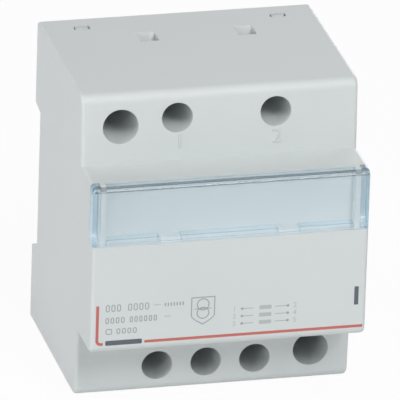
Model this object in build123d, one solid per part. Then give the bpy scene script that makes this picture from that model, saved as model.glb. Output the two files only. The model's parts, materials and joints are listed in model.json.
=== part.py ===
import os

from build123d import *

# Modular safety transformer for a 35 mm mounting rail. Millimetres.
# X runs to the right, Y to the back and Z up. The origin lies on the middle line of the rail, on the
# face of the rail that the device sits on. A depth is measured forward from that face, along -Y.

# Case
case_width = 71.0
case_height = 82.0
nose_height = 45.0
nose_depth = 59.5
nose_rise = 14.5  # the nose stands this far in front of where a shoulder meets it
shoulder_fall = 0.9  # a shoulder leans back by this much at its outer edge
jaw_depth = 5.4  # the case reaches this far behind the rail's face
wall = 1.8
shoulder_radius = 2.6
nose_radius = 2.0
back_bevel = 0.5
rim_radius = 1.0  # rounding round both side faces

# Rail seat
rail_height = 35.0
rail_thickness = 1.0
rail_play = 0.6  # above and below the rail
upper_flare = 0.9  # the seat opens by this much towards the back, at its top
lower_flare = 2.4  # and at its bottom
hook_grip = 1.6  # a hook reaches this far behind the rail's edge
hook_clearance = 0.3  # between a hook and the back of the rail's flange
hook_thickness = 2.2
hook_bevel = 1.6
hook_width = 10.0
hook_pitch = 32.0

# Terminals: two above, three below, on rows that are a half turn of each other
terminal_pitch = 12.65
terminal_offset = 1.65  # the middle of a row lies this far off the case's middle
driver_hole = 7.9
driver_window = 5.4  # square, so that the screw's head stays behind it
driver_lip = 1.2
tube_wall = 1.3
entry_width = 4.9
entry_length = 5.8
entry_depth = 9.0  # depth of the middle of a wire entry
entry_offset = 0.5
entry_slope = 1.5  # an entry's back wall leans forward by this much on its way in
sleeve_wall = 0.9
sleeve_reach = 1.25
cage_gap = 0.4  # between a wire entry's sleeve and the cage

# Clamp
screw_diameter = 4.0
screw_head = 6.8
screw_head_height = 2.4
slot_width = 1.0
slot_depth = 1.2
cage_width = 8.0
cage_length = 7.6
cage_side = 1.2
cage_floor = 1.4
cage_nut = 2.6
bar_width = 5.0
bar_thickness = 1.2
lug_height = 4.0
lug_reach = 11.6  # from the screw's axis in to the lug
lug_fork = 1.4
lug_fork_depth = 2.6
cell_wall = 1.0

# Screw fixing on a diagonal
fixing_inset_x = 10.0  # from the side of the case to the screw's axis
fixing_inset_z = 8.7  # from its top or bottom
fixing_bore = 9.1
fixing_hole = 3.6
fixing_seat = 5.0  # depth at which the case sits on the base's bosses
fixing_floor = 2.0
boss_wall = 2.0

# Base and clips
base_wall = 2.0
clip_inset = 10.0  # from the side of the case to the middle of a clip
clip_width = 3.3
clip_thickness = 1.5
clip_reach = 3.4
clip_nose = 1.75
clip_flat = 0.9  # of the nose, behind its ramp
window_width = 4.2
window_length = 2.2
window_depth = 0.6

# Latches
latch_flange = 10.4
latch_tongue = 8.0
latch_flange_thickness = 1.9
latch_back_thickness = 2.0
latch_end = 0.4  # the end stands this far inside the case's underside
latch_slot_width = 4.0
latch_slot_height = 1.5
latch_slot_margin = 2.0

# Label pocket and its hinged window
pocket_floor = 6.5  # height of the pocket's floor above the middle of the nose
pocket_recess = 4.1  # from the front of the nose in to the pocket's back wall
pocket_margin = 3.5  # from the side of the case to the pocket
window_plate = 1.3
window_sill = 1.1
cheek_width = 2.0
cheek_radius = 3.6
hinge_pin = 1.3
hinge_pin_length = 0.95
hinge_arm = 1.33  # from the back of the plate to the hinge axis
hinge_bridge = 0.8  # joins the barrel to the plate
tab_pitch = 30.4
tab_width = 5.3
tab_height = 0.9

# Transformer: E and I laminations, two-chamber bobbin
core_leg = 20.0
core_window = 10.0
core_yoke = 10.0
core_side = 10.0
core_depth = 19.5  # depth of the back of the stack
core_room = 3.5  # between the core and the tube of a driver well
bobbin_wall = 1.0
bobbin_flange = 1.1
bobbin_build = 9.3  # from the leg to the rim of a flange
bobbin_room = 3.8  # between the bobbin and the wall behind the label pocket
winding_rim = 1.4  # from the winding up to the rim
winding_bevel = 3.0
tape = 0.5
post_size = 6.0
post_x = 25.0
post_z = 12.0
ptc_diameter = 7.0
ptc_thickness = 3.2
lead_size = 1.1  # square pins
lead_tail = 0.8  # a lead stands this far out of its lug

# Clearances
fit = 0.15
running_fit = 0.05
hinge_fit = 0.1
swing_fit = 0.2

# Sizes worked out from the above
half_width = case_width / 2
half_height = case_height / 2
nose_half = nose_height / 2
shoulder_depth = nose_depth - nose_rise
shoulder_edge = shoulder_depth - shoulder_fall
inner_half_width = half_width - wall
inner_half_height = half_height - wall
terminal_height = inner_half_height - sleeve_reach - cage_gap - cage_length / 2
seat_half = rail_height / 2 + rail_play
base_half_width = inner_half_width - fit
base_half_height = inner_half_height - fit
base_back = jaw_depth - fit

entry_back = entry_depth - entry_length / 2
entry_front = entry_depth + entry_length / 2
bar_back = entry_front
bar_front = bar_back + bar_thickness
screw_tip = bar_front + running_fit
cage_travel = entry_length - swing_fit
cage_window_front = bar_front + swing_fit
cage_front = cage_window_front + cage_nut
head_back = cage_front + cage_travel + swing_fit
head_front = head_back + screw_head_height
tube_end = head_front + swing_fit
tube_root = shoulder_edge - wall / 2
well_half = driver_hole / 2 + tube_wall
cell_half_width = cage_width / 2 + fit
cell_inner = terminal_height - cage_length / 2 - fit
lug_height_z = terminal_height - lug_reach
fork_end = bar_front + lug_height - lug_fork_depth
lead_depth = fork_end + lead_size / 2 + running_fit

pocket_depth = nose_depth - pocket_recess
core_half_height = terminal_height - well_half - core_room
core_window_length = 2 * (core_half_height - core_yoke)
core_front = pocket_depth - wall - bobbin_room - bobbin_build
core_stack = core_front - core_depth
core_middle = core_depth + core_stack / 2
bobbin_half_length = core_window_length / 2 - swing_fit
flange_half_width = core_leg / 2 + bobbin_build
flange_half_depth = core_stack / 2 + bobbin_build
plate_back = nose_depth - window_plate
hinge_depth = plate_back - hinge_arm
hinge_height = nose_half - hinge_arm + hinge_fit
cheek_inner = half_width - cheek_width
pocket_half = half_width - pocket_margin

lower_terminals = [k * terminal_pitch - terminal_offset for k in (-1, 0, 1)]
upper_terminals = [k * terminal_pitch + terminal_offset for k in (-1, 1)]
fixing_x = half_width - fixing_inset_x
fixing_z = half_height - fixing_inset_z
clip_x = half_width - clip_inset
fixing_points = [(-fixing_x, fixing_z), (fixing_x, -fixing_z)]

# Sketch planes: depth and height as seen from the left, width and height as seen from the front
side_plane = Plane(origin=(0, 0, 0), x_dir=(0, -1, 0), z_dir=(-1, 0, 0))
front_plane = Plane(origin=(0, 0, 0), x_dir=(1, 0, 0), z_dir=(0, -1, 0))


def outline(*corners):
    # a closed face from corners given as (x, y, radius)
    points = [(x, y) for x, y, radius in corners]
    return make_face(FilletPolyline(*points, radius=[radius for x, y, radius in corners], close=True))


def side_slab(face, half, x=0.0):
    # a depth and height outline, swept across the width
    return Pos(X=x) * extrude(side_plane * face, half, both=True)


def block(x_range, depth_range, z_range):
    (x0, x1), (d0, d1), (z0, z1) = x_range, depth_range, z_range
    return Pos((x0 + x1) / 2, -(d0 + d1) / 2, (z0 + z1) / 2) * Box(x1 - x0, d1 - d0, z1 - z0)


def rod(x, z, diameter, depth_range):
    # a round bar that points forward
    d0, d1 = depth_range
    return extrude(front_plane.offset(d0) * Pos(x, z) * Circle(diameter / 2), d1 - d0)


def about(middle, half):
    return middle - half, middle + half


def pillar(x, z, half, depth_range):
    # a square bar that points forward
    return block(about(x, half), depth_range, about(z, half))


def below(part):
    return mirror(part, about=Plane.XY)


def both_rows(part_at):
    # the same feature at every terminal, turned over for the lower row
    return [part_at(x) for x in upper_terminals] + [below(part_at(x)) for x in lower_terminals]


def case_form():
    # the outside of the whole front, with the label window's place filled
    face = outline(
        (-jaw_depth, half_height - back_bevel, 0),
        (back_bevel - jaw_depth, half_height, 0),
        (shoulder_edge, half_height, shoulder_radius),
        (shoulder_depth, nose_half, 0),
        (nose_depth, nose_half, nose_radius),
        (nose_depth, -nose_half, nose_radius),
        (shoulder_depth, -nose_half, 0),
        (shoulder_edge, -half_height, shoulder_radius),
        (back_bevel - jaw_depth, -half_height, 0),
        (-jaw_depth, back_bevel - half_height, 0),
        (-jaw_depth, -seat_half - lower_flare, 0),
        (0, -seat_half, 0),
        (0, seat_half, 0),
        (-jaw_depth, seat_half + upper_flare, 0),
    )
    solid = side_slab(face, half_width)
    sides = solid.faces().filter_by(Axis.X)
    rims = [edge for side in sides for edge in side.edges()]
    # the back and the rail seat keep their edges sharp
    return fillet([edge for edge in rims if -edge.center().Y > shoulder_edge / 4], rim_radius)


def case_cavity():
    face = outline(
        (-jaw_depth - wall, inner_half_height, 0),
        (shoulder_edge - wall, inner_half_height, 0),
        (shoulder_depth - wall, nose_half - wall, 0),
        (pocket_depth - wall, nose_half - wall, 0),
        (pocket_depth - wall, pocket_floor - wall, 0),
        (nose_depth - wall, pocket_floor - wall, 0),
        (nose_depth - wall, wall - nose_half, 0),
        (shoulder_depth - wall, wall - nose_half, 0),
        (shoulder_edge - wall, -inner_half_height, 0),
        (-jaw_depth - wall, -inner_half_height, 0),
    )
    return side_slab(face, inner_half_width)


def cheek_outline(grow):
    # one end of the label window from the side: round below, and round about the hinge at its top
    back = pocket_depth - grow
    low = pocket_floor + fit - grow
    reach = nose_depth + nose_radius
    face = outline(
        (reach, low, 0),
        (reach, hinge_height, 0),
        (back, hinge_height, 0),
        (back, low, cheek_radius),
    )
    return face + Pos(hinge_depth, hinge_height) * Circle(hinge_depth - back)


def cheek_blanks(grow):
    # both ends of the label window, still as slabs that run out past the case
    half = cheek_width / 2 + grow
    face = cheek_outline(grow)
    return side_slab(face, half, half_width - half + grow) + side_slab(face, half, half - half_width - grow)


def label_space():
    # what is cut from the nose: the plate's rebate, a corner for the plate to roll over, the pocket, the ends
    reach = nose_depth + nose_radius
    across = (-half_width, half_width)
    top = nose_half + nose_radius
    rebate = block(across, (plate_back - fit, reach), (pocket_floor, top))
    corner = block(across, (hinge_depth, reach), (hinge_height, top))
    corner -= side_slab(Pos(hinge_depth, hinge_height) * Circle(hinge_arm - fit), half_width)
    pocket = block((-pocket_half, pocket_half), (pocket_depth, reach), (pocket_floor, nose_half - wall))
    barrel_way = block((-pocket_half, pocket_half), (hinge_depth - hinge_arm, reach), (pocket_floor, top))
    return rebate + corner + pocket + barrel_way + cheek_blanks(fit)


def hinge_pins(diameter, length, start):
    # round pins that point inward from both ends of the window
    circle = Pos(hinge_depth, hinge_height) * Circle(diameter / 2)
    middle = start - length / 2
    return side_slab(circle, length / 2, middle) + side_slab(circle, length / 2, -middle)


def make_label_cover(form):
    reach = nose_depth + nose_radius
    sill = pocket_floor + fit
    plate = block((-half_width, half_width), (plate_back, reach), (sill, nose_half + nose_radius))
    shelf_half = pocket_half - fit
    inside = (-shelf_half, shelf_half)
    barrel = side_slab(Pos(hinge_depth, hinge_height) * Circle(hinge_arm - fit), shelf_half)
    bridge = block(inside, (hinge_depth, plate_back), about(hinge_height, hinge_bridge / 2))
    shelf = block(inside, (pocket_depth + fit, plate_back), (sill, sill + window_sill))
    for side in (-1, 1):
        gap = about(side * tab_pitch / 2, tab_width / 2 + fit)
        shelf -= block(gap, (pocket_depth, plate_back), (sill, sill + window_sill))
    window = form & (plate + cheek_blanks(0))
    return window + shelf + barrel + bridge + hinge_pins(hinge_pin, hinge_pin_length, cheek_inner)


def make_front_cover(form):
    cover = form - case_cavity()
    cover += both_rows(driver_tube)
    cover += both_rows(entry_sleeve)
    fixing_half = fixing_bore / 2 + tube_wall
    cover += [pillar(x, z, fixing_half, (fixing_seat, tube_root)) for x, z in fixing_points]
    for x in (-post_x, post_x):
        cover += pillar(x, post_z, post_size / 2, (core_front, pocket_depth - wall / 2))
        cover += pillar(x, -post_z, post_size / 2, (core_front, nose_depth - wall / 2))
    lip_front = tube_end + driver_lip
    cover -= both_rows(lambda x: rod(x, terminal_height, driver_hole, (lip_front, nose_depth)))
    cover -= both_rows(lambda x: pillar(x, terminal_height, driver_window / 2, (tube_end, lip_front)))
    cover -= both_rows(entry_hole)
    seat_front = fixing_seat + fixing_floor
    cover -= [rod(x, z, fixing_bore, (seat_front, shoulder_depth)) for x, z in fixing_points]
    cover -= [rod(x, z, fixing_hole, (fixing_seat, seat_front)) for x, z in fixing_points]
    window = about(window_depth, window_length / 2)
    for x in (-clip_x, clip_x):
        across = about(x, window_width / 2)
        cover -= block(across, window, (inner_half_height, half_height))
        cover -= block(across, window, (-half_height, -inner_half_height))
    for x in (-hook_pitch / 2, hook_pitch / 2):
        notch = about(x, latch_flange / 2 + 2 * fit)
        slot_front = -rail_thickness + swing_fit
        cover -= block(notch, (-jaw_depth, slot_front), (-half_height, -inner_half_height))
    cover -= label_space()
    cover -= hinge_pins(hinge_pin + 2 * hinge_fit, hinge_pin_length + fit, cheek_inner - fit + hinge_fit)
    floor_tabs = (pocket_depth, plate_back - 2 * fit)
    for side in (-1, 1):
        tab = about(side * tab_pitch / 2, tab_width / 2)
        cover += block(tab, floor_tabs, (pocket_floor, pocket_floor + tab_height))
    return cover


def driver_tube(x):
    # a square tube round a driver well, joined to the outer wall
    along = (terminal_height - well_half, half_height - wall / 2)
    return block(about(x, well_half), (tube_end, tube_root), along)


def entry_sleeve(x):
    across = about(x + entry_offset, entry_width / 2 + sleeve_wall)
    along = about(entry_depth, entry_length / 2 + sleeve_wall)
    return block(across, along, (inner_half_height - sleeve_reach, half_height - wall / 2))


def entry_hole(x):
    inner = inner_half_height - sleeve_reach
    face = outline(
        (entry_front, inner, 0),
        (entry_front, half_height, 0),
        (entry_back, half_height, 0),
        (entry_back + entry_slope, inner, 0),
    )
    return side_slab(face, entry_width / 2, x + entry_offset)


def seat_line(flare):
    # half of the rail seat's surface, from its middle out to the back of the jaw
    return [(0, seat_half), (-base_back, seat_half + flare * base_back / jaw_depth)]


def make_rear_base():
    upper = seat_line(upper_flare)
    lower = [(depth, -z) for depth, z in seat_line(lower_flare)]
    jaw_inner = base_wall - base_back
    face = outline(
        (-base_back, base_half_height, 0),
        (*upper[1], 0),
        (*upper[0], 0),
        (*lower[0], 0),
        (*lower[1], 0),
        (-base_back, -base_half_height, 0),
        (jaw_inner, -base_half_height, 0),
        (jaw_inner, lower[1][1] - base_wall, 0),
        (base_wall, lower[0][1] - base_wall, 0),
        (base_wall, upper[0][1] + base_wall, 0),
        (jaw_inner, upper[1][1] + base_wall, 0),
        (jaw_inner, base_half_height, 0),
    )
    base = side_slab(face, base_half_width)
    base += both_rows(lambda x: terminal_cell(x, jaw_inner))
    boss_half = fixing_hole / 2 + boss_wall
    base += [pillar(x, z, boss_half, (jaw_inner, fixing_seat)) for x, z in fixing_points]
    for x in (-post_x, post_x):
        for z in (-post_z, post_z):
            base += pillar(x, z, post_size / 2, (base_wall / 2, core_depth))
    for x in (-hook_pitch / 2, hook_pitch / 2):
        base += rail_hook(x)
        base += latch_guide(x, lower)
        base -= latch_way(x, lower)
    base -= [rod(x, z, fixing_hole, (-base_back, fixing_seat)) for x, z in fixing_points]
    for x in (-clip_x, clip_x):
        clip = clip_tongue(x, jaw_inner)
        base += clip
        base += below(clip)
    return base


def terminal_cell(x, floor):
    # three walls that guide a cage, with a slot for the contact strip
    outer = cell_half_width + cell_wall
    inner_wall = (cell_inner - cell_wall, cell_inner)
    walls = block(about(x, outer), (floor, head_back), (cell_inner - cell_wall, base_half_height))
    walls -= block(about(x, cell_half_width), (floor, head_back), (cell_inner, base_half_height))
    slot = about(x, bar_width / 2 + running_fit)
    walls -= block(slot, (bar_back - running_fit, bar_front + running_fit), inner_wall)
    return walls


def rail_hook(x):
    near = -rail_thickness - hook_clearance
    far = near - hook_thickness
    tip = rail_height / 2 - hook_grip
    root = seat_half + base_wall / 2
    face = outline(
        (near, root, 0),
        (near, tip, 0),
        (near - hook_thickness / 2, tip, 0),
        (far, tip + hook_bevel, 0),
        (far, root, 0),
    )
    return side_slab(face, hook_width / 2, x)


def latch_guide(x, lower):
    # the thick block of the lower jaw that a latch slides in
    front = base_wall - rail_thickness + fit
    face = outline(
        (-base_back, -base_half_height, 0),
        (*lower[1], 0),
        (*lower[0], 0),
        (front, -seat_half, 0),
        (front, -base_half_height, 0),
    )
    return side_slab(face, latch_flange / 2 + fit + base_wall, x)


def latch_places():
    # depths of a latch: front face, back of its flange, back of its narrow part
    front = -rail_thickness - fit
    return front, front - latch_flange_thickness, front - latch_flange_thickness - latch_back_thickness


def latch_way(x, lower):
    front, middle, back = latch_places()
    stop = lower[1][1] - fit
    wide = block(about(x, latch_flange / 2 + fit), (middle - fit, front + fit), (-half_height, stop))
    narrow = block(about(x, latch_tongue / 2 + fit), (-jaw_depth, front + fit), (-half_height, 0))
    return wide + narrow


def make_latch(x):
    front, middle, back = latch_places()
    end = latch_end - half_height
    stop = -seat_half - lower_flare * base_back / jaw_depth - 2 * fit
    tip = hook_grip - rail_height / 2
    latch = block(about(x, latch_flange / 2), (middle, front), (end, stop))
    latch += block(about(x, latch_tongue / 2), (back, middle), (end, stop))
    tongue_back = front - hook_thickness
    tongue = outline(
        (front, stop, 0),
        (front, tip, 0),
        (tongue_back, tip - hook_bevel, 0),
        (tongue_back, stop, 0),
    )
    latch += side_slab(tongue, latch_tongue / 2, x)
    slot = (end + latch_slot_margin, end + latch_slot_margin + latch_slot_height)
    return latch - block(about(x, latch_slot_width / 2), (back, front), slot)


def clip_tongue(x, floor):
    # a springy tongue on the base, with a wedge that snaps into the case's window
    outer = base_half_height
    catch = window_depth - window_length / 2 + fit
    tongue = block(about(x, clip_width / 2), (floor, clip_reach), (outer - clip_thickness, outer))
    wedge = outline(
        (catch, outer - clip_thickness / 2, 0),
        (catch, outer + clip_nose, 0),
        (catch + clip_flat, outer + clip_nose, 0),
        (catch + window_length - 2 * fit, outer, 0),
        (catch + window_length - 2 * fit, outer - clip_thickness / 2, 0),
    )
    return tongue + side_slab(wedge, clip_width / 2, x)


def make_bar(x):
    outer = terminal_height + cage_length / 2
    inner = lug_height_z
    face = outline(
        (bar_back, outer, 0),
        (bar_front, outer, 0),
        (bar_front, inner + bar_thickness, 0),
        (bar_front + lug_height, inner + bar_thickness, 0),
        (bar_front + lug_height, inner, 0),
        (bar_back, inner, 0),
    )
    fork = block(about(x, lug_fork / 2), (fork_end, bar_front + lug_height), (inner, inner + bar_thickness))
    return side_slab(face, bar_width / 2, x) - fork


def make_cage(x):
    along = about(terminal_height, cage_length / 2)
    cage = block(about(x, cage_width / 2), (entry_back - cage_floor, cage_front), along)
    cage -= block(about(x, cage_width / 2 - cage_side), (entry_back, cage_window_front), along)
    nut = rod(x, terminal_height, screw_diameter + 2 * running_fit, (cage_window_front, cage_front))
    return cage - nut


def make_screw(x):
    screw = rod(x, terminal_height, screw_diameter, (screw_tip, head_back))
    screw += rod(x, terminal_height, screw_head, (head_back, head_front))
    slot = (head_front - slot_depth, head_front)
    half = screw_head / 2
    return screw - block(about(x, half), slot, about(terminal_height, slot_width / 2))


def make_lead(x, start):
    # a stiff pin from a flange of the bobbin, or from the overload disc, out through the fork of a lug
    end = lug_height_z + bar_thickness + lead_tail
    return block(about(x, lead_size / 2), about(lead_depth, lead_size / 2), (start, end))


def oblong(half, bevel):
    face = Rectangle(2 * half[0], 2 * half[1])
    return chamfer(face.vertices(), bevel) if bevel > 0 else face


def ring(outer_half, hole_half, bevel, hole_bevel, z_range):
    # a frame around the core's middle leg
    z0, z1 = z_range
    face = oblong(outer_half, bevel) - oblong(hole_half, hole_bevel)
    return Pos(0, -core_middle, z0) * extrude(face, z1 - z0)


leg_half = (core_leg / 2 + fit, core_stack / 2 + fit)
tube_half = (leg_half[0] + bobbin_wall, leg_half[1] + bobbin_wall)
flange_half = (flange_half_width, flange_half_depth)
winding_half = (flange_half_width - winding_rim, flange_half_depth - winding_rim)
tape_half = (winding_half[0] + tape, winding_half[1] + tape)
tape_bevel = winding_bevel + tape * (2 - 2**0.5)
chamber = (bobbin_flange / 2, bobbin_half_length - bobbin_flange)


def make_bobbin():
    bobbin = ring(tube_half, leg_half, 0, 0, (-bobbin_half_length, bobbin_half_length))
    for z in (-bobbin_half_length, -bobbin_flange / 2, bobbin_half_length - bobbin_flange):
        bobbin += ring(flange_half, leg_half, 0, 0, (z, z + bobbin_flange))
    return bobbin


def make_core_e():
    half = core_leg / 2 + core_window + core_side
    low = -core_window_length / 2
    body = block((-half, half), (core_depth, core_front), (low - core_yoke, -low))
    for side in (-1, 1):
        window = about(side * (core_leg + core_window) / 2, core_window / 2)
        body -= block(window, (core_depth, core_front), (low, -low))
    return body


def make_core_i():
    half = core_leg / 2 + core_window + core_side
    low = core_window_length / 2
    return block((-half, half), (core_depth, core_front), (low, low + core_yoke))


def make_ptc(x):
    disc = Cylinder(ptc_diameter / 2, ptc_thickness, align=(Align.CENTER, Align.CENTER, Align.MIN))
    return Pos(x, -lead_depth, bobbin_half_length) * disc


form = case_form()
nodes = {
    "front_cover": make_front_cover(form),
    "rear_base": make_rear_base(),
    "label_cover": make_label_cover(form),
    "din_latch_left": make_latch(-hook_pitch / 2),
    "din_latch_right": make_latch(hook_pitch / 2),
    "core_e_stack": make_core_e(),
    "core_i_stack": make_core_i(),
    "bobbin": make_bobbin(),
    "primary_winding": ring(winding_half, tube_half, winding_bevel, 0, chamber),
    "primary_tape": ring(tape_half, winding_half, tape_bevel, winding_bevel, chamber),
    "overload_ptc": make_ptc(upper_terminals[-1]),
}
nodes["secondary_winding"] = below(nodes["primary_winding"])
nodes["secondary_tape"] = below(nodes["primary_tape"])

for number, x in enumerate(upper_terminals + lower_terminals, start=1):
    upper = number <= len(upper_terminals)
    for name, make in (("bar", make_bar), ("cage", make_cage), ("screw", make_screw)):
        piece = make(x)
        nodes[f"terminal_{name}_{number}"] = piece if upper else below(piece)
    on_disc = number == len(upper_terminals)
    lead = make_lead(x, bobbin_half_length + ptc_thickness if on_disc else bobbin_half_length)
    nodes[f"lead_{number}"] = lead if upper else below(lead)

os.makedirs("parts", exist_ok=True)
for name, piece in nodes.items():
    export_step(piece, f"parts/{name}.step")
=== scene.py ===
import json
import math

import bmesh
import bpy
from mathutils import Matrix, Vector


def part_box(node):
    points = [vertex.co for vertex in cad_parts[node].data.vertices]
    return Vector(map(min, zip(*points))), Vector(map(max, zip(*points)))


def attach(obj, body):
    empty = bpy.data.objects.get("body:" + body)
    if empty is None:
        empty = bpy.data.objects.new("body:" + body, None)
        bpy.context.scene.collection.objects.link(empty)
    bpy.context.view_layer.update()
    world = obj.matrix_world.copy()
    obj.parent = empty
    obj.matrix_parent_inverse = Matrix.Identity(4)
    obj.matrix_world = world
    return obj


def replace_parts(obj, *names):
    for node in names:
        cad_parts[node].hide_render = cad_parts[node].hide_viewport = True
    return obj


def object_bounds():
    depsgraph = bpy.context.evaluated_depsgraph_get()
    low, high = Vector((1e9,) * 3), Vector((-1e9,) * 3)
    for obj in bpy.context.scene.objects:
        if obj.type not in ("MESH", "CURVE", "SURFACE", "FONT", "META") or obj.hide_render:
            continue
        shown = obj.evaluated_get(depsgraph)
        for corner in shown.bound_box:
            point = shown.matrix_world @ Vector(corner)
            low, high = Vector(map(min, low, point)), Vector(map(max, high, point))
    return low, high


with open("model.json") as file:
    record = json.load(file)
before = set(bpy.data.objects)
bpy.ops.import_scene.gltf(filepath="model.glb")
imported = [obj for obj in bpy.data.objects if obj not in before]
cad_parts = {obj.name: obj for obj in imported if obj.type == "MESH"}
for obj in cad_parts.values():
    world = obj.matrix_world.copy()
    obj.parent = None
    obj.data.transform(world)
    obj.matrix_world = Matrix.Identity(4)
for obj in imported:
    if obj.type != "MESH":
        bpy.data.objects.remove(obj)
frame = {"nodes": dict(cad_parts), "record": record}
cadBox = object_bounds()
lowest = cadBox[0]
nodes = frame["nodes"]
print("frame loaded:", len(nodes), "nodes")

mm = 0.001


class Wire:
    # a node socket that can stand in sums: each sum adds its own Math node
    def __init__(self, tree, socket=None):
        self.tree = tree
        self.socket = socket

    def node(self, kind, settings=None, links=None, output=0):
        made = self.tree.nodes.new(kind)
        for key, value in (settings or {}).items():
            setattr(made, key, value)
        for key, value in (links or {}).items():
            for one in value if isinstance(value, list) else [value]:
                if isinstance(one, Wire):
                    self.tree.links.new(one.socket, made.inputs[key])
                else:
                    made.inputs[key].default_value = one
        return Wire(self.tree, made.outputs[output]) if made.outputs else None

    def maths(self, operation, first, second=0.0):
        return self.node("ShaderNodeMath", {"operation": operation}, {0: first, 1: second})

    def __add__(self, other):
        return self.maths("ADD", self, other)

    def __sub__(self, other):
        return self.maths("SUBTRACT", self, other)

    def __rsub__(self, other):
        return self.maths("SUBTRACT", other, self)

    def __mul__(self, other):
        return self.maths("MULTIPLY", self, other)

    def __truediv__(self, other):
        return self.maths("DIVIDE", self, other)

    __radd__ = __add__
    __rmul__ = __mul__


def newFinish(name, **constants):
    # an empty Principled material: its node, and a wire that carries Object coordinates
    material = bpy.data.materials.new(name)
    material.use_nodes = True
    shader = material.node_tree.nodes["Principled BSDF"]
    for key, value in constants.items():
        shader.inputs[key.replace("_", " ")].default_value = value
    place = Wire(material.node_tree).node("ShaderNodeTexCoord", output="Object")
    return material, shader, place


def feed(shader, **wires):
    for key, wire in wires.items():
        wire.tree.links.new(wire.socket, shader.inputs[key.replace("_", " ")])


def noise(place, size, detail=2.0):
    # soft noise from 0 to 1, with features of about that size in metres
    links = {"Vector": place, "Scale": 1 / size, "Detail": detail}
    return place.node("ShaderNodeTexNoise", {"normalize": True}, links)


def blendColour(amount, first, second):
    settings = {"data_type": "RGBA", "blend_type": "MIX"}
    return amount.node("ShaderNodeMix", settings, {"Factor": amount, 6: first, 7: second}, output=2)


def along(place, axis):
    return place.node("ShaderNodeSeparateXYZ", links={"Vector": place}, output=axis)


def ramp(value, ends):
    # 0 at the first of two places, 1 at the second
    return value.node("ShaderNodeMapRange", links={"Value": value, "From Min": ends[0], "From Max": ends[1]})


def bumped(height, strength, distance, softEdge=0.0):
    links = {"Strength": strength, "Distance": distance, "Height": height}
    if softEdge > 0:
        links["Normal"] = height.node("ShaderNodeBevel", {"samples": 4}, {"Radius": softEdge})
    return height.node("ShaderNodeBump", links=links)


mouldedPlastic = {
    "case": {"light": (0.652, 0.688, 0.688, 1), "deep": (0.628, 0.664, 0.665, 1), "rough": 0.46},
    "base": {"light": (0.615, 0.648, 0.650, 1), "deep": (0.588, 0.620, 0.622, 1), "rough": 0.50},
    "latch": {"light": (0.560, 0.585, 0.590, 1), "deep": (0.530, 0.555, 0.560, 1), "rough": 0.42},
    "ior": 1.49,
    "grain": 0.22 * mm,
    "grainRough": 0.10,
    "grainBump": 0.10,
    "grainDepth": 0.05 * mm,
    "flow": 26 * mm,
    "flowRough": 0.05,
    "edge": 0.28 * mm,  # sharp edges catch the light over this width
}


def plasticFinish(name, look):
    # fine matt grain, with a faint drift of tone where the melt flowed
    tone = look[name]
    material, shader, place = newFinish(name + "Plastic", IOR=look["ior"])
    grain = noise(place, look["grain"], detail=3.0)
    flow = noise(place, look["flow"], detail=1.0)
    feed(shader, Base_Color=blendColour(flow, tone["deep"], tone["light"]))
    feed(shader, Roughness=tone["rough"] + look["grainRough"] * grain + look["flowRough"] * flow)
    feed(shader, Normal=bumped(grain, look["grainBump"], look["grainDepth"], look["edge"]))
    return material


clearWindow = {
    "ior": 1.49,
    "pale": (0.32, 0.54, 0.68, 1),
    "deep": (0.12, 0.24, 0.34, 1),
    "haze": 0.10,  # share of light that one wall stops, seen square on
    "rim": 0.80,  # more of it where the eye runs along a wall
    "rimPower": 4.0,
    # width of the painted shade lines along the edges
    "edge": 0.30 * mm,
    "edgeShadeGain": 5.0,
    "edgeShadeHaze": 0.60,
    "ends": (34.1 * mm, 34.5 * mm),  # the deeper blue of both ends starts here
    "endTint": (0.10, 0.32, 0.48, 1),
    "endShare": 0.7,
    "endHaze": 0.21,
    "inner": 0.75,  # walls inside the ends are that much clearer
    # painted shade: dark lines across the rolled top edge, standing in for the gap shadow and the dark of
    # refraction there, in millimetres outwards: start, full, still full, end
    "paintedShadeLines": [(57.5, 57.75, 58.25, 58.45), (59.0, 59.08, 59.36, 59.44)],
    "paintedShadeHeight": (20.95 * mm, 21.1 * mm),
    "paintedShadeTint": (0.12, 0.16, 0.18, 1),
    "paintedShadeHaze": 0.42,
    "gloss": 0.6,
    "glossFrom": (58.2 * mm, 58.4 * mm),  # the hinge barrel behind the plate stays dull
    "barrelHeight": (19.8 * mm, 20.1 * mm),
    "polish": 0.12,
    "rough": 0.05,
    "smear": 9 * mm,
    "smearRough": 0.05,
}


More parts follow.
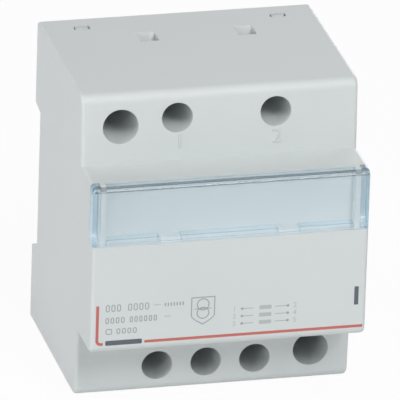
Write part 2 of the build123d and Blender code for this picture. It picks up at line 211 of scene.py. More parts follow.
def windowFinish(look):
    # clear bluish plastic: faint square on, deeper along its walls, with painted shade in lines along its
    # edges and across its rolled top edge, and a polished face
    material, shader, place = newFinish("windowClear", IOR=look["ior"])
    facing = place.node("ShaderNodeLayerWeight", links={"Blend": 0.5}, output="Facing")
    steep = facing.maths("POWER", facing, look["rimPower"])
    face = place.node("ShaderNodeNewGeometry", output="Normal")
    soft = place.node("ShaderNodeBevel", {"samples": 6}, {"Radius": look["edge"]})
    product = {"operation": "DOT_PRODUCT"}
    agree = place.node("ShaderNodeVectorMath", product, {0: face, 1: soft}, output="Value")
    outwards, height = -1.0 * along(place, "Y"), along(place, "Z")
    bands = [[v * mm for v in line] for line in look["paintedShadeLines"]]
    lines = sum(ramp(outwards, (a, b)) * ramp(outwards, (d, c)) for a, b, c, d in bands)
    # roll: the mask of the painted shade lines, on the top edge only
    roll = lines * ramp(height, look["paintedShadeHeight"])
    # painted shade: a mask that darkens every edge, standing in for the dark that refraction and narrow gaps
    # make there
    edge = place.maths("MINIMUM", look["edgeShadeGain"] * (1.0 - agree), 1.0)
    # deep: the tint of the walls seen edge-on, together with the painted edge shade
    deep = place.maths("MAXIMUM", steep, edge)
    ends = ramp(place.maths("ABSOLUTE", along(place, "X")), look["ends"])
    smear = noise(place, look["smear"])
    tint = blendColour(deep, look["pale"], look["deep"])
    tint = blendColour(look["endShare"] * ends, tint, look["endTint"])
    # the painted shade lines turn the tint dark grey
    feed(shader, Base_Color=blendColour(roll, tint, look["paintedShadeTint"]))
    sideways = place.maths("ABSOLUTE", along(face, "X")) * (1.0 - ends)
    haze = look["haze"] + look["rim"] * steep + look["edgeShadeHaze"] * edge
    haze = haze * (1.0 - look["inner"] * sideways)
    feed(shader, Alpha=haze + look["endHaze"] * ends + look["paintedShadeHaze"] * roll)
    feed(shader, Roughness=look["rough"] + look["smearRough"] * smear)
    barrel = (1.0 - ramp(outwards, look["glossFrom"])) * ramp(height, look["barrelHeight"])
    bare = (1.0 - barrel) * (1.0 - roll)
    shine = place.node("ShaderNodeFresnel", links={"IOR": look["ior"]}) * bare * look["gloss"]
    mirror = {"Color": (1, 1, 1, 1), "Roughness": look["polish"]}
    polish = place.node("ShaderNodeBsdfAnisotropic", links=mirror)
    body = Wire(material.node_tree, shader.outputs["BSDF"])
    both = place.node("ShaderNodeMixShader", links={0: shine, 1: body, 2: polish})
    surface = material.node_tree.nodes["Material Output"].inputs["Surface"]
    material.node_tree.links.new(both.socket, surface)
    return material


coreSteel = {
    "steel": (0.17, 0.18, 0.20, 1),
    "varnish": (0.07, 0.062, 0.06, 1),
    "metallic": 0.85,
    "stain": 6 * mm,
    "stainShare": 0.75,
    "fine": 0.4 * mm,
    "rough": 0.34,
    "stainRough": 0.3,
    "bump": 0.12,
    "bumpDepth": 0.04 * mm,
}


def laminationFinish(look):
    # varnished electrical sheet, stained in patches
    material, shader, place = newFinish("laminatedSteel", Metallic=look["metallic"])
    stain = noise(place, look["stain"], detail=3.0)
    fine = noise(place, look["fine"])
    bare = look["stainShare"] * stain + (1 - look["stainShare"]) * fine
    feed(shader, Base_Color=blendColour(bare, look["varnish"], look["steel"]))
    feed(shader, Roughness=look["rough"] + look["stainRough"] * stain)
    feed(shader, Normal=bumped(fine, look["bump"], look["bumpDepth"]))
    return material


coilEnamel = {
    "enamel": (0.50, 0.19, 0.065, 1),
    "shade": (0.33, 0.11, 0.035, 1),
    "metallic": 0.9,
    "patch": 2.4 * mm,
    "rough": 0.20,
    "patchRough": 0.18,
}


def copperFinish(look):
    # clear enamel over copper, its tint a little uneven from turn to turn
    material, shader, place = newFinish("enamelledCopper", Metallic=look["metallic"])
    patch = noise(place, look["patch"])
    feed(shader, Base_Color=blendColour(patch, look["shade"], look["enamel"]))
    feed(shader, Roughness=look["rough"] + look["patchRough"] * patch)
    return material


bobbinMoulding = {
    "deep": (0.018, 0.018, 0.019, 1),
    "light": (0.045, 0.045, 0.047, 1),
    "ior": 1.5,
    "fibre": 0.35 * mm,
    "rough": 0.42,
    "fibreRough": 0.2,
    "bump": 0.2,
    "bumpDepth": 0.05 * mm,
}


def bobbinFinish(look):
    # black glass-filled moulding
    material, shader, place = newFinish("bobbinPlastic", IOR=look["ior"])
    fibre = noise(place, look["fibre"], detail=4.0)
    feed(shader, Base_Color=blendColour(fibre, look["deep"], look["light"]))
    feed(shader, Roughness=look["rough"] + look["fibreRough"] * fibre)
    feed(shader, Normal=bumped(fibre, look["bump"], look["bumpDepth"]))
    return material


coilTape = {
    "deep": (0.62, 0.40, 0.045, 1),
    "light": (0.78, 0.56, 0.10, 1),
    "ior": 1.57,
    "lap": 5 * mm,
    "patch": 4 * mm,
    "rough": 0.18,
    "patchRough": 0.14,
    "bump": 0.15,
    "bumpDepth": 0.05 * mm,
}


def tapeFinish(look):
    # amber polyester film, wound with faint overlaps
    material, shader, place = newFinish("insulationFilm", IOR=look["ior"])
    turn = along(place, "Z") * (2 * math.pi / look["lap"])
    lap = turn.maths("SINE", turn) * 0.5 + 0.5
    feed(shader, Base_Color=blendColour(lap, look["deep"], look["light"]))
    feed(shader, Roughness=look["rough"] + look["patchRough"] * noise(place, look["patch"]))
    feed(shader, Normal=bumped(lap, look["bump"], look["bumpDepth"]))
    return material


overloadDisc = {
    "deep": (0.03, 0.07, 0.22, 1),
    "light": (0.05, 0.11, 0.30, 1),
    "ior": 1.5,
    "dip": 2 * mm,
    "rough": 0.25,
    "dipRough": 0.2,
    "bump": 0.2,
    "bumpDepth": 0.1 * mm,
}


def discFinish(look):
    # dipped coating of the overload disc
    material, shader, place = newFinish("dippedCoating", IOR=look["ior"])
    dip = noise(place, look["dip"])
    feed(shader, Base_Color=blendColour(dip, look["deep"], look["light"]))
    feed(shader, Roughness=look["rough"] + look["dipRough"] * dip)
    feed(shader, Normal=bumped(dip, look["bump"], look["bumpDepth"]))
    return material


platedMetal = {
    "plated": {"light": (0.66, 0.65, 0.62, 1), "deep": (0.50, 0.49, 0.46, 1), "rough": 0.28},
    "screw": {"light": (0.64, 0.65, 0.66, 1), "deep": (0.42, 0.43, 0.45, 1), "rough": 0.24},
    "lead": {"light": (0.72, 0.71, 0.69, 1), "deep": (0.55, 0.54, 0.52, 1), "rough": 0.34},
    "drawn": (1, 1, 6),
    "streak": 0.6 * mm,
    "streakRough": 0.14,
    "dull": 3 * mm,
    "dullRough": 0.12,
    "bump": 0.12,
    "bumpDepth": 0.03 * mm,
}


def metalFinish(name, look):
    # plated steel or tinned pins: fine streaks and dull patches
    tone = look[name]
    material, shader, place = newFinish(name + "Metal", Metallic=1.0)
    drawn = place.node("ShaderNodeMapping", links={"Vector": place, "Scale": look["drawn"]})
    streak = noise(drawn, look["streak"], detail=3.0)
    dull = noise(place, look["dull"])
    feed(shader, Base_Color=blendColour(dull, tone["deep"], tone["light"]))
    feed(shader, Roughness=tone["rough"] + look["streakRough"] * streak + look["dullRough"] * dull)
    feed(shader, Normal=bumped(streak, look["bump"], look["bumpDepth"]))
    return material


finishes = {name: plasticFinish(name, mouldedPlastic) for name in ("case", "base", "latch")}
finishes.update({name: metalFinish(name, platedMetal) for name in ("plated", "screw", "lead")})
finishes["window"] = windowFinish(clearWindow)
finishes["lamination"] = laminationFinish(coreSteel)
finishes["copper"] = copperFinish(coilEnamel)
finishes["bobbin"] = bobbinFinish(bobbinMoulding)
finishes["tape"] = tapeFinish(coilTape)
finishes["disc"] = discFinish(overloadDisc)
for part in frame["record"]["subparts"]:
    nodes[part["node"]].data.materials.clear()
    nodes[part["node"]].data.materials.append(finishes[part["material_slot"]])
nodes["label_cover"].visible_shadow = False  # clear plastic leaves its pocket in full light
print("finishes on the CAD nodes:", len(finishes))


def newTree(name, inputs):
    # an empty geometry tree, and a wire from each of its named inputs
    tree = bpy.data.node_groups.new(name, "GeometryNodeTree")
    tree.interface.new_socket("Geometry", in_out="OUTPUT", socket_type="NodeSocketGeometry")
    for label, kind in inputs.items():
        tree.interface.new_socket(label, in_out="INPUT", socket_type="NodeSocket" + kind)
    start = Wire(tree).node("NodeGroupInput").socket.node
    return {socket.name: Wire(tree, socket) for socket in start.outputs if socket.name}


def closeTree(shape, material):
    # copies become real faces with a finish of their own
    real = shape.node("GeometryNodeRealizeInstances", links={"Geometry": shape})
    dressed = real.node("GeometryNodeSetMaterial", links={"Geometry": real, "Material": material})
    dressed.node("NodeGroupOutput", links={"Geometry": dressed})
    return shape.tree


def plainMesh(holder):
    return bpy.data.meshes.new_from_object(holder.evaluated_get(bpy.context.evaluated_depsgraph_get()))


def grown(name, tree, values, base=None):
    # runs a tree on a base mesh and keeps the result as a plain mesh
    holder = bpy.data.objects.new(name, base or bpy.data.meshes.new(name))
    bpy.context.scene.collection.objects.link(holder)
    modifier = holder.modifiers.new(name, "NODES")
    modifier.node_group = tree
    for item in tree.interface.items_tree:
        if item.in_out == "INPUT" and item.name in values:
            modifier[item.identifier] = values[item.name]
    data = plainMesh(holder)
    data.materials.clear()
    data.materials.append(values["Material"])
    holder.modifiers.remove(modifier)
    bpy.data.objects.remove(holder)
    return data


def addPiece(name, data, body, slot=None):
    piece = bpy.data.objects.new(name, data)
    bpy.context.scene.collection.objects.link(piece)
    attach(piece, body)
    return piece if slot else piece


def joined(name, meshes):
    whole = bmesh.new()
    for one in meshes:
        whole.from_mesh(one)
    data = bpy.data.meshes.new(name)
    whole.to_mesh(data)
    whole.free()
    data.materials.append(meshes[0].materials[0])
    return data


class Slab:
    # flat shapes given by their outlines in millimetres, each between two levels
    def __init__(self, place):
        self.mesh = bmesh.new()
        self.place = place  # turns across, up and level into a point of the frame

    def edge(self, points, level):
        return [self.mesh.verts.new([v * mm for v in self.place(a, b, level)]) for a, b in points]

    def solid(self, points, start, end):
        low, high = self.edge(points, start), self.edge(points, end)
        self.mesh.faces.new(low)
        self.mesh.faces.new(high[::-1])
        for k in range(len(points)):
            self.mesh.faces.new((low[k - 1], high[k - 1], high[k], low[k]))

    def ring(self, outer, inner, start, end):
        # a band between two outlines with the same number of points
        outLow, outHigh = self.edge(outer, start), self.edge(outer, end)
        inLow, inHigh = self.edge(inner, start), self.edge(inner, end)
        for k in range(len(outer)):
            for loop in ((outLow, outHigh), (outHigh, inHigh), (inHigh, inLow), (inLow, outLow)):
                first, second = loop
                self.mesh.faces.new((first[k - 1], second[k - 1], second[k], first[k]))

    def done(self, name, material):
        bmesh.ops.recalc_face_normals(self.mesh, faces=self.mesh.faces[:])
        data = bpy.data.meshes.new(name)
        self.mesh.to_mesh(data)
        self.mesh.free()
        data.materials.append(material)
        return data


def onPanel(across, up, depth):
    return across, -depth, up


def inPlan(across, depth, up):
    return across, depth, up


def barPoints(x0, x1, z0, z1, radius=0.0, steps=5):
    # outline of a flat bar with rounded corners
    radius = min(radius, 0.49 * (x1 - x0), 0.49 * (z1 - z0))  # corners never meet
    if radius <= 0:
        return [(x0, z0), (x1, z0), (x1, z1), (x0, z1)]
    right, left, top, bottom = x1 - radius, x0 + radius, z1 - radius, z0 + radius
    points = []
    for quarter, (cx, cz) in enumerate([(right, bottom), (right, top), (left, top), (left, bottom)]):
        for step in range(steps + 1):
            angle = math.pi / 2 * (quarter - 1 + step / steps)
            points.append((cx + radius * math.cos(angle), cz + radius * math.sin(angle)))
    return points


def ringPoints(x, z, radius, steps=28):
    turn = [2 * math.pi * k / steps for k in range(steps)]
    return [(x + radius * math.cos(a), z + radius * math.sin(a)) for a in turn]


def repeatTree():
    # copies of a shape in a straight row, each a little out of line
    inputs = {"Geometry": "Geometry", "Count": "Int", "Step": "Vector", "Jitter": "Vector", "Seed": "Int",
              "Material": "Material"}
    put = newTree("repeatAlong", inputs)
    shape = put["Geometry"]
    line = {"Count": put["Count"], "Offset": put["Step"]}
    row = shape.node("GeometryNodeMeshLine", {"mode": "OFFSET"}, line)
    least = shape.node("ShaderNodeVectorMath", {"operation": "SCALE"}, {0: put["Jitter"], "Scale": -1.0})
    random = {0: least, 1: put["Jitter"], "Seed": put["Seed"]}
    shift = shape.node("FunctionNodeRandomValue", {"data_type": "FLOAT_VECTOR"}, random)
    loose = shape.node("GeometryNodeSetPosition", links={"Geometry": row, "Offset": shift})
    copies = shape.node("GeometryNodeInstanceOnPoints", links={"Points": loose, "Instance": shape})
    return closeTree(copies, put["Material"])


repeatAlong = repeatTree()


def inRow(name, base, material, count, step, jitter=(0, 0, 0), seed=1):
    values = {"Count": count, "Step": step, "Jitter": jitter, "Seed": seed, "Material": material}
    return grown(name, repeatAlong, values, base)


coreSheets = {
    "sheet": 0.5,
    "gap": 0.05,
    "side": 10.0,
    "window": 10.0,
    "yoke": 10.0,
    "jitter": 0.03 * mm,
    "seed": 7,
}


def addCore(size):
    # one stamped sheet of each shape, stacked through the depth of its CAD node
    for node, openSide in (("core_e_stack", True), ("core_i_stack", False)):
        low, high = (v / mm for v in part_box(node))
        left, right, bottom, top = low.x, high.x, low.z, high.z
        points = [(left, top), (left, bottom), (right, bottom), (right, top)]
        if openSide:
            floor = bottom + size["yoke"]
            for sign in (1, -1):
                outer = sign * (right - size["side"])
                inner = sign * (right - size["side"] - size["window"])
                slot = [(outer, top), (outer, floor), (inner, floor), (inner, top)]
                points += slot if sign > 0 else slot[::-1]
        count = round((high.y - low.y) / size["sheet"])
        step = (high.y - low.y) / count
        slab = Slab(onPanel)
        slab.solid(points, -low.y - step + size["gap"], -low.y)
        sheet = slab.done(node, finishes["lamination"])
        jitter = (size["jitter"], 0, size["jitter"])
        data = inRow(node, sheet, finishes["lamination"], count, (0, step * mm, 0), jitter, size["seed"])
        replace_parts(addPiece(node + "_sheets", data, "housing", "lamination"), node)


addCore(coreSheets)

coilTurns = {
    "wire": 0.42,
    "bend": 5.0,
    "tube": (11.15, 11.65),  # half the width and half the depth of the bobbin's tube
    "tubeBend": 0.4,
    "sides": 6,
    "jitter": 0.012 * mm,
    "seed": 11,
}


def turnTree():
    # a closed path becomes a wire
    inputs = {"Geometry": "Geometry", "Radius": "Float", "Sides": "Int", "Material": "Material"}
    put = newTree("bentWire", inputs)
    path = put["Geometry"].node("GeometryNodeMeshToCurve", links={"Mesh": put["Geometry"]})
    links = {"Resolution": put["Sides"], "Radius": put["Radius"]}
    section = path.node("GeometryNodeCurvePrimitiveCircle", links=links)
    wire = path.node("GeometryNodeCurveToMesh", links={"Curve": path, "Profile Curve": section})
    return closeTree(wire, put["Material"])


def addCoils(size):
    # an outer layer of turns over a plain body that fills the chamber
    bentWire = turnTree()
    wire, half = size["wire"], size["wire"] / 2
    for node in ("primary_winding", "secondary_winding"):
        low, high = (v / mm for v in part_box(node))
        path = barPoints(low.x + half, high.x - half, low.y + half, high.y - half, size["bend"])
        data = bpy.data.meshes.new(node)
        ends = [(k, (k + 1) % len(path)) for k in range(len(path))]
        data.from_pydata([(x * mm, y * mm, (low.z + half) * mm) for x, y in path], ends, [])
        values = {"Radius": half * mm, "Sides": size["sides"], "Material": finishes["copper"]}
        turn = grown(node, bentWire, values, data)
        count = int((high.z - low.z) / wire)
        jitter = (size["jitter"], size["jitter"], 0)
        turns = inRow(node, turn, finishes["copper"], count, (0, 0, wire * mm), jitter, size["seed"])
        turns.shade_smooth()
        halfWidth, halfDepth = size["tube"]
        middle = (low.y + high.y) / 2
        slab = Slab(inPlan)
        outer = barPoints(low.x + wire, high.x - wire, low.y + wire, high.y - wire, size["bend"])
        inner = barPoints(-halfWidth, halfWidth, middle - halfDepth, middle + halfDepth, size["tubeBend"])
        slab.ring(outer, inner, low.z, high.z)
        body = slab.done(node, finishes["copper"])
        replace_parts(addPiece(node + "_turns", joined(node, [body, turns]), "housing", "copper"), node)


addCoils(coilTurns)
print("core sheets and coil turns done")

clampScrew = {
    "pitch": 0.7,
    "core": 1.62,
    "outer": 2.0,
    "rows": 8,  # in one pitch
    "around": 28,
    "headHeight": 2.4,
    "headRound": 0.06,
    "headPower": 6.0,
    "headRows": 7,  # keeps the slot's floor between two rows
    "slotWidth": 1.0,
    "slotDepth": 1.2,
    "sharp": 38,
}


def screwTree(size):
    # a rod swells into a thread along its own height, and a round head gets a cut slot
    inputs = {"Shank": "Float", "Core": "Float", "Thread": "Float", "Pitch": "Float", "Rows": "Int",
              "Head": "Float", "HeadHeight": "Float", "HeadRound": "Float", "SlotWidth": "Float",
              "SlotDepth": "Float", "Material": "Material"}
    put = newTree("threadedScrew", inputs)
    shank, pitch, headHeight = put["Shank"], put["Pitch"], put["HeadHeight"]
    links = {"Vertices": size["around"], "Side Segments": put["Rows"], "Radius": put["Core"], "Depth": shank}
    rod = shank.node("GeometryNodeMeshCylinder", links=links)
    spot = shank.node("GeometryNodeInputPosition")
    x, y, z = (along(spot, axis) for axis in "XYZ")
    up = z + shank * 0.5
    turn = up / pitch - x.maths("ARCTAN2", y, x) / (2 * math.pi)
    crest = 2.0 * turn.maths("PINGPONG", turn, 0.5)
    runOut = up.maths("MINIMUM", up / pitch, 1.0) * up.maths("MINIMUM", (shank - up) / pitch, 1.0)
    swell = 1.0 + put["Thread"] / put["Core"] * crest * runOut
    placed = x.node("ShaderNodeCombineXYZ", links={"X": x * swell, "Y": y * swell, "Z": up})
    thread = rod.node("GeometryNodeSetPosition", links={"Geometry": rod, "Position": placed})
    links = {"Vertices": 2 * size["around"], "Side Segments": size["headRows"], "Radius": put["Head"],
             "Depth": headHeight}
    blank = shank.node("GeometryNodeMeshCylinder", links=links)
    share = z / headHeight + 0.5
    narrow = 1.0 - put["HeadRound"] * share.maths("POWER", share, size["headPower"])
    links = {"X": x * narrow, "Y": y * narrow, "Z": z + shank + 0.5 * headHeight}
    placed = x.node("ShaderNodeCombineXYZ", links=links)
    head = blank.node("GeometryNodeSetPosition", links={"Geometry": blank, "Position": placed})
    links = {"X": 3.0 * put["Head"], "Y": put["SlotWidth"], "Z": 2.0 * put["SlotDepth"]}
    block = x.node("ShaderNodeCombineXYZ", links=links)
    cutter = shank.node("GeometryNodeMeshCube", links={"Size": block})
    crown = x.node("ShaderNodeCombineXYZ", links={"Z": shank + headHeight})
    cutter = cutter.node("GeometryNodeSetPosition", links={"Geometry": cutter, "Offset": crown})
    settings = {"operation": "DIFFERENCE", "solver": "EXACT"}
    slotted = head.node("GeometryNodeMeshBoolean", settings, {0: head, 1: cutter})
    whole = head.node("GeometryNodeJoinGeometry", links={"Geometry": [thread, slotted]})
    return closeTree(whole, put["Material"])


def addScrews(size):
    tree = screwTree(size)
    for number in range(1, 6):
        node = "terminal_screw_%d" % number
        low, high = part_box(node)
        headHeight = size["headHeight"] * mm
        shank = high.y - low.y - headHeight
        values = {"Shank": shank, "Core": size["core"] * mm, "Thread": (size["outer"] - size["core"]) * mm,
                  "Pitch": size["pitch"] * mm, "Rows": round(size["rows"] * shank / (size["pitch"] * mm)),
                  "Head": (high.x - low.x) / 2, "HeadHeight": headHeight, "HeadRound": size["headRound"],
                  "SlotWidth": size["slotWidth"] * mm, "SlotDepth": size["slotDepth"] * mm,
                  "Material": finishes["screw"]}
        data = grown(node, tree, values)
        tip = Vector(((low.x + high.x) / 2, high.y, (low.z + high.z) / 2))
        forward = Matrix.Rotation(math.pi / 2, 4, "X")  # its own Z points out of the front
        data.transform(Matrix.Translation(tip) @ forward)
        data.shade_smooth()
        data.set_sharp_from_angle(angle=math.radians(size["sharp"]))
        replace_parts(addPiece("clamp_screw_%d" % number, data, "screw_%d" % number, "screw"), node)


addScrews(clampScrew)
print("threaded screws done")

panelInk = {
    "red": {"colour": (0.50, 0.10, 0.075, 1), "wear": 0.10},
    "grey": {"colour": (0.30, 0.33, 0.35, 1), "wear": 0.08},
    "pale": {"colour": (0.43, 0.46, 0.475, 1), "wear": 0.06},
    "dark": {"colour": (0.07, 0.09, 0.115, 1), "wear": 0.06},
    "ior": 1.49,
    "patch": 0.5 * mm,
    "rough": 0.38,
    "patchRough": 0.12,
    "front": -lowest.y / mm,  # the panel's face, with ink on either side of it
    "thick": 0.02,
    "lap": 0.002,  # lines that cross lie one over another
}


def inkFinish(name, look):
    # thin screen print: a little uneven, slightly glossier than the case
    colour, wear = look[name]["colour"], look[name]["wear"]
    material, shader, place = newFinish(name + "Ink", IOR=look["ior"])
    patch = noise(place, look["patch"], detail=3.0)
    worn = tuple(c + (1 - c) * wear for c in colour[:3]) + (1,)
    feed(shader, Base_Color=blendColour(patch, colour, worn))
    feed(shader, Roughness=look["rough"] + look["patchRough"] * patch)
    return material


inks = {name: inkFinish(name, panelInk) for name in ("red", "grey", "pale", "dark")}
inkBack = panelInk["front"] - panelInk["thick"]
inkFront = panelInk["front"] + panelInk["thick"]


def addPrint(name, ink, solids=(), rings=()):
    slab = Slab(onPanel)
    for points in solids:
        slab.solid(points, inkBack, inkFront)
    for k, (outer, inner) in enumerate(rings):
        slab.ring(outer, inner, inkBack, inkFront - panelInk["lap"] * k)
    addPiece(name, slab.done(name, inks[ink]), "housing")


panelStripe = {
    "left": -33.77,
    "right": 34.7,
    "top": -9.4,
    "bottom": -19.89,
    "width": 0.75,
    "bend": 1.0,
    "bendSteps": 8,
    "footEnd": -32.2,
    "resume": -21.55,
    "bar": (-31.6, -22.2, -20.35, -19.05),  # start, end, low and high
    "barRound": 0.3,
}


def cornerPoints(x, z, radius, steps):
    turn = [math.pi + math.pi / 2 * k / steps for k in range(steps + 1)]
    return [(x + radius * math.cos(a), z + radius * math.sin(a)) for a in turn]


def addStripe(size):
    # down the left side and round one corner, then on to the right after a plain bar
    half, bend, steps = size["width"] / 2, size["bend"], size["bendSteps"]
    x, z = size["left"], size["bottom"]
    outer = cornerPoints(x + bend, z + bend, bend + half, steps)
    inner = cornerPoints(x + bend, z + bend, bend - half, steps)
    start = [(x + half, size["top"]), (x - half, size["top"])]
    end = [(size["footEnd"], z - half), (size["footEnd"], z + half)]
    longRun = barPoints(size["resume"], size["right"], z - half, z + half)
    addPrint("panel_stripe", "red", [start + outer + end + inner[::-1], longRun])
    addPrint("panel_plain_bar", "dark", [barPoints(*size["bar"], size["barRound"])])


addStripe(panelStripe)

markRows = {
    # top and bottom of each row, then its groups: start, end and how many marks stand in it
    "rows": [
        (-9.25, -11.2, [(-31.7, -27.8, 3), (-26.0, -20.6, 4)]),
        (-12.75, -14.4, [(-31.7, -26.8, 4), (-25.5, -18.5, 6)]),
        (-15.8, -17.35, [(-31.6, -29.9, 1), (-28.8, -23.6, 4)]),
    ],
    "line": 0.24,
    "gap": 0.42,
    "round": 0.5,
    "small": (-9.7, -10.7, [(-16.6, -11.7, 7)]),
    "smallLine": 0.7,  # share of the line
    "dashes": [(-19.4, -17.6, -10.1), (-16.6, -15.0, -13.4)],
}


def addMarks(size):
    # rows of plain rounded marks, each group one mark repeated
    thin = size["smallLine"] * size["line"]
    rows = [row + (size["line"],) for row in size["rows"]] + [size["small"] + (thin,)]
    meshes = []
    for high, low, groups, line in rows:
        for start, end, count in groups:
            step = (end - start + size["gap"]) / count
            right = start + step - size["gap"]
            slab = Slab(onPanel)
            outer = barPoints(start, right, low, high, size["round"])
            inner = barPoints(start + line, right - line, low + line, high - line, size["round"] - line)
            slab.ring(outer, inner, inkBack, inkFront)
            mark = slab.done("mark", inks["grey"])
            meshes.append(inRow("mark", mark, inks["grey"], count, (step * mm, 0, 0)))
    addPiece("panel_words", joined("panel_words", meshes), "housing")
    half = size["line"] / 2
    dashes = [barPoints(start, end, z - half, z + half) for start, end, z in size["dashes"]]
    addPrint("panel_dashes", "pale", dashes)


addMarks(markRows)

shieldMark = {
    "left": -9.8,
    "right": -3.6,
    "top": -8.8,
    "side": -13.9,
    "tip": -16.45,
    "tipInset": 1.3,
    "swing": 1.5,  # how the sides run in to the tip
    "steps": 8,
    "line": 0.28,
    "ring": 1.65,
    "rings": [-10.9, -13.2],
    "bar": -12.05,
    "barHalf": 2.2,
    "barLine": 0.2,
}


def shieldPoints(size, inset):
    # straight above, then drawn in to a point below
    left, right = size["left"] + inset, size["right"] - inset
    top, side, tip = size["top"] - inset, size["side"], size["tip"] + size["tipInset"] * inset
    half = (right - left) / 2
    fall = [k / size["steps"] for k in range(size["steps"] + 1)]
    down = [(left + half * t ** size["swing"], side + (tip - side) * t) for t in fall]
    return [(right, top), (left, top)] + down + [(left + right - x, z) for x, z in down[-2::-1]]


def addShield(size):
    line = size["line"]
    middle = (size["left"] + size["right"]) / 2
    rings = [(shieldPoints(size, 0), shieldPoints(size, line))]
    for z in size["rings"]:
        rings.append((ringPoints(middle, z, size["ring"]), ringPoints(middle, z, size["ring"] - line)))
    addPrint("panel_shield", "grey", rings=rings)
    half, bar, thick = size["barHalf"], size["bar"], size["barLine"] / 2
    addPrint("panel_shield_bar", "grey", [barPoints(middle - half, middle + half, bar - thick, bar + thick)])


addShield(shieldMark)

plainDigit = {
    "share": 0.70,  # of the type's size that a digit fills
    "steps": 6,
    "weld": 0.0001 * mm,
}


def digitMesh(text, height, thick, place, tilt, material):
    # one upright digit, closed, with its place in its mesh
    curve = bpy.data.curves.new("digit", "FONT")
    curve.body = text
    curve.align_x = "CENTER"
    curve.align_y = "CENTER"
    curve.size = height / plainDigit["share"]
    curve.extrude = thick
    curve.resolution_u = plainDigit["steps"]
    holder = bpy.data.objects.new("digit", curve)
    bpy.context.scene.collection.objects.link(holder)
    data = plainMesh(holder)
    bpy.data.objects.remove(holder)
    closed = bmesh.new()
    closed.from_mesh(data)
    bmesh.ops.remove_doubles(closed, verts=closed.verts[:], dist=plainDigit["weld"])
    closed.to_mesh(data)
    closed.free()
    data.shade_flat()
    data.transform(Matrix.Translation(place) @ Matrix.Rotation(tilt, 4, "X"))
    data.materials.append(material)
    return data


connectionTable = {
    "rows": 3,
    "top": -12.87,
    "pitch": 2.02,
    "dots": (3.4, 15.2),
    "dot": 0.36,
    "dotSteps": 16,
    "ends": (6.3, 11.9),
    "line": 0.16,
    "values": (7.8, 11.0),
    "valueHeight": 1.05,
    "valueRound": 0.25,
    "digits": 1.35,
    "left": ("1", "3", "3"),
    "leftX": 1.4,
    "right": ("2", "4", "5"),
    "rightX": 17.05,
}


def addTable(size):
    # one row of two dotted lines, repeated downwards, with plain bars between and plain digits at both sides
    z, line = size["top"], size["line"] / 2
    slab = Slab(onPanel)
    for dot, end in zip(size["dots"], size["ends"]):
        slab.solid(ringPoints(dot, z, size["dot"], size["dotSteps"]), inkBack, inkFront)
        run = barPoints(min(dot, end), max(dot, end), z - line, z + line)
        slab.solid(run, inkBack, inkFront - 2 * panelInk["lap"])
    lines = slab.done("panel_table", inks["grey"])
    data = inRow("panel_table", lines, inks["grey"], size["rows"], (0, 0, -size["pitch"] * mm))
    addPiece("panel_table", data, "housing")
    half, bend = size["valueHeight"] / 2, size["valueRound"]
    rows = [z - size["pitch"] * k for k in range(size["rows"])]
    bars = [barPoints(*size["values"], row - half, row + half, bend) for row in rows]
    addPrint("panel_values", "pale", bars)
    height, thick = size["digits"] * mm, panelInk["thick"] * mm
    digits = []
    for texts, x in ((size["left"], size["leftX"]), (size["right"], size["rightX"])):
        for text, row in zip(texts, rows):
            place = Vector((x * mm, -panelInk["front"] * mm, row * mm))
            digits.append(digitMesh(text, height, thick, place, math.pi / 2, inks["pale"]))
    addPiece("panel_digits", joined("panel_digits", digits), "housing")


addTable(connectionTable)

edgeBar = {"left": 32.3, "right": 33.4, "bottom": -14.0, "top": -9.0, "round": 0.2}
bar = barPoints(edgeBar["left"], edgeBar["right"], edgeBar["bottom"], edgeBar["top"], edgeBar["round"])
addPrint("panel_edge_bar", "dark", [bar])
print("panel print done")

raisedDigits = {
    "height": 3.75,
    "middle": 27.2,
    "proud": 0.22,
    "shift": (0.6, 0.3),  # to the right of the well: the narrow first digit, then the others
    "shoulder": 45.0,
    "fall": 0.9,
    "noseHalf": 22.5,
    "caseHalf": 41.0,
}


def addDigits(size):
    # each shoulder leans back, so its digits lean with it
    slope = size["fall"] / (size["caseHalf"] - size["noseHalf"])
    depth = size["shoulder"] - slope * (size["middle"] - size["noseHalf"])
    height, proud = size["height"] * mm, size["proud"] * mm
    for number in range(1, 6):
        low, high = (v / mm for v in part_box("terminal_screw_%d" % number))
        sign = 1 if low.z > 0 else -1
        x = (low.x + high.x) / 2 + size["shift"][number > 1]
        place = Vector((x * mm, -depth * mm, sign * size["middle"] * mm))
        tilt = math.pi / 2 - sign * math.atan(slope)
        data = digitMesh(str(number), height, proud, place, tilt, finishes["case"])
        addPiece("terminal_digit_%d" % number, data, "housing", "case")


addDigits(raisedDigits)
print("raised digits done")

studio = {
    "floor": 3.0,
    "below": 0.03 * mm,
    "floorColour": (0.9, 0.9, 0.9, 1),
    "shadowShare": 0.06,
    "sky": 0.22,
    "lamps": {
        "high": {"place": (0.30, -1.15, 0.95), "size": 0.45, "power": 7.0},
        "front": {"place": (-0.02, -0.95, 1.20), "size": 0.45, "power": 4.4},
        "side": {"place": (-1.40, -0.20, 0.50), "size": 0.8, "power": 7.3},
        "left": {"place": (-1.10, -1.00, 0.15), "size": 0.5, "power": 2.1},
        "low": {"place": (-0.20, -1.45, 0.25), "size": 0.8, "power": 0.7},
        "top": {"place": (0.10, -0.50, 1.40), "size": 0.13, "power": 1.1},
        "back": {"place": (0.90, 1.25, 0.22), "size": 0.9, "power": 8.0},
    },
}


def lightPathSum(start):
    # 1 for what the camera sees directly, in a reflection or through clear plastic
    path = start.node("ShaderNodeLightPath", output="Is Camera Ray")
    outputs = path.socket.node.outputs
    glossy = Wire(start.tree, outputs["Is Glossy Ray"])
    through = Wire(start.tree, outputs["Is Transmission Ray"])
    return path.maths("MINIMUM", path + glossy + through, 1.0)


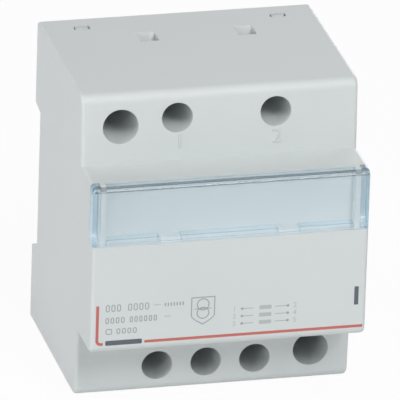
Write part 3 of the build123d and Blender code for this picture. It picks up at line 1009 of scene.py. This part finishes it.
def addFloor(size):
    half, z = size["floor"] / 2, lowest.z - size["below"]
    data = bpy.data.meshes.new("floor")
    corners = [(-half, -half, z), (half, -half, z), (half, half, z), (-half, half, z)]
    data.from_pydata(corners, [], [(0, 1, 2, 3)])
    floor = bpy.data.objects.new("floor", data)
    bpy.context.scene.collection.objects.link(floor)
    material = bpy.data.materials.new("paleFloor")
    material.use_nodes = True
    tree = material.node_tree
    tree.nodes.clear()
    start = Wire(tree)
    matt = start.node("ShaderNodeBsdfDiffuse", links={"Color": size["floorColour"]})
    white = start.node("ShaderNodeEmission", links={"Color": (1, 1, 1, 1), "Strength": 1.0})
    share = lightPathSum(start) * (1 - size["shadowShare"])
    mix = start.node("ShaderNodeMixShader", links={0: share, 1: matt, 2: white})
    mix.node("ShaderNodeOutputMaterial", links={"Surface": mix})
    data.materials.append(material)


def addSky(size):
    world = bpy.data.worlds.new("studio")
    bpy.context.scene.world = world
    world.use_nodes = True
    tree = world.node_tree
    background = tree.nodes["Background"]
    background.inputs["Color"].default_value = (1, 1, 1, 1)
    seen = lightPathSum(Wire(tree))
    tree.links.new((size["sky"] + seen * (1 - size["sky"])).socket, background.inputs["Strength"])


def addLamps(size):
    for name, lamp in size["lamps"].items():
        data = bpy.data.lights.new(name, "AREA")
        data.shape = "DISK"
        data.size = lamp["size"]
        data.energy = lamp["power"]
        holder = bpy.data.objects.new(name, data)
        holder.location = lamp["place"]
        holder.rotation_mode = "QUATERNION"
        holder.rotation_quaternion = (-Vector(lamp["place"])).to_track_quat("-Z", "Y")
        bpy.context.scene.collection.objects.link(holder)


addFloor(studio)
addSky(studio)
addLamps(studio)
print("floor and light done")

photoView = {
    "target": (6.9563 * mm, 0.0, -9.1584 * mm),
    "turn": -14.4757,
    "rise": 23.5783,
    "roll": 1.8855,
    "distance": 2.5136,
    "lens": 886.24,
    "sensor": 36,
    "reach": 20,
}


def addCamera(shot):
    turn, rise = math.radians(shot["turn"]), math.radians(shot["rise"])
    back = Vector((math.sin(turn) * math.cos(rise), -math.cos(turn) * math.cos(rise), math.sin(rise)))
    data = bpy.data.cameras.new("photoView")
    data.lens = shot["lens"]
    data.sensor_width = shot["sensor"]
    data.clip_end = shot["reach"]
    holder = bpy.data.objects.new("photoView", data)
    holder.rotation_mode = "QUATERNION"
    level = (-back).to_track_quat("-Z", "Y")
    roll = Matrix.Rotation(math.radians(shot["roll"]), 3, "Z").to_quaternion()
    holder.rotation_quaternion = level @ roll
    holder.location = Vector(shot["target"]) + back * shot["distance"]
    bpy.context.scene.collection.objects.link(holder)
    bpy.context.scene.camera = holder


addCamera(photoView)
bpy.context.scene.view_settings.view_transform = "Standard"
print("camera done")
